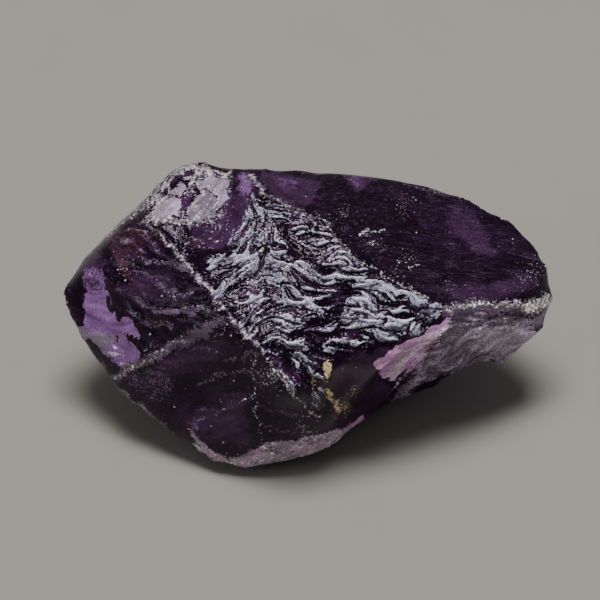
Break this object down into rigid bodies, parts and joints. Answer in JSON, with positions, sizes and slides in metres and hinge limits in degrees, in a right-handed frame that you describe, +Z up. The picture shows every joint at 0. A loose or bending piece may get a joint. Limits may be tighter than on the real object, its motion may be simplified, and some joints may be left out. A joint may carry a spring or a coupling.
{
  "type": "rough amethyst",
  "caption": "Rough amethyst: one broken piece of dark violet quartz, 45 mm long, with a splintered silvery break, glassy faces and chipped white ridges, lying on a flat break.",
  "frame": {"origin": "middle of the stone's box, on the plane of the flat break that it rests on", "axes": "+X along the stone's longest extent towards the thin overhanging end, -Y towards the splintered face, +Z up from the surface it lies on"},
  "size_m": [0.045, 0.0258, 0.0211],
  "materials": {
    "amethyst": "clear dark violet quartz, glassy on its breaks, frosted where the ridges are crushed"
  },
  "bodies": {
    "root": {"amethyst_rough": "amethyst"}
  },
  "joints": []
}
